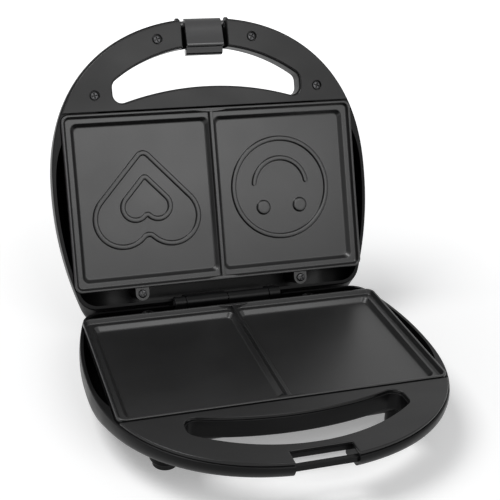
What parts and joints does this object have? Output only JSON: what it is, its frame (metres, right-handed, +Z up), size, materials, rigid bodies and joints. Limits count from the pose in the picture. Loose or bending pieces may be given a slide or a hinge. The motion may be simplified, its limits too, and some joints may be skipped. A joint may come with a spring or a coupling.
{
  "type": "sandwich maker",
  "caption": "Compact two-slice sandwich maker, standing open: round black clam-shell with handles and finger openings, cast plates, rear hinge and front latch clip.",
  "frame": {"origin": "centre of the bounding box's bottom, on the surface that the feet stand on, with the lid open", "axes": "+X to the user's right, -Y to the user and the handles, +Z up"},
  "size_m": [0.241, 0.3008, 0.2237],
  "materials": {
    "shell_plastic": "satin black moulded",
    "cover_plastic": "fine matt black moulded",
    "latch_plastic": "glossy black",
    "non_stick": "cast, with a dark matt non-stick coating",
    "bare_aluminium": "pressed sheet",
    "element_sheath": "dull heater sheath",
    "plated_steel": "zinc plated",
    "dark_steel": "blackened",
    "foot_rubber": "matt black",
    "red_lens": "clear red lens",
    "green_lens": "clear green lens",
    "ceramic": "white ceramic"
  },
  "bodies": {
    "base": {"base_shell": "shell_plastic", "base_cover": "cover_plastic", "base_plate": "non_stick", "base_element": "element_sheath", "base_element_clamp": "plated_steel", "base_clamp_screw": "plated_steel", "base_reflector": "bare_aluminium", "base_plate_screw_left": "dark_steel", "base_plate_screw_right": "dark_steel", "base_cover_screw_1": "dark_steel", "base_cover_screw_2": "dark_steel", "base_cover_screw_3": "dark_steel", "base_cover_screw_4": "dark_steel", "thermal_fuse": "ceramic", "terminal_block": "ceramic", "lead_gland": "foot_rubber", "hinge_pin": "plated_steel", "foot_front_left": "foot_rubber", "foot_front_right": "foot_rubber", "foot_rear_left": "foot_rubber", "foot_rear_right": "foot_rubber"},
    "lid": {"lid_shell": "shell_plastic", "lid_cover": "cover_plastic", "lid_plate": "non_stick", "lid_element": "element_sheath", "lid_element_clamp": "plated_steel", "lid_clamp_screw": "plated_steel", "lid_reflector": "bare_aluminium", "lid_plate_screw_left": "dark_steel", "lid_plate_screw_right": "dark_steel", "lid_cover_screw_1": "dark_steel", "lid_cover_screw_2": "dark_steel", "lid_cover_screw_3": "dark_steel", "lid_cover_screw_4": "dark_steel", "thermostat": "plated_steel", "power_lamp": "red_lens", "ready_lamp": "green_lens", "latch_pin": "plated_steel"},
    "latch": {"latch_clip": "latch_plastic"}
  },
  "joints": [
    {"name": "lid_hinge", "type": "hinge", "parent": "base", "child": "lid", "pos_m": [0, 0.05556, 0.0363], "axis": [1, 0, 0], "range_deg": [0, 112.96]},
    {"name": "latch_hinge", "type": "hinge", "parent": "lid", "child": "latch", "pos_m": [0, 0.14583, 0.21907], "axis": [-1, 0, 0], "range_deg": [0, 120]}
  ]
}
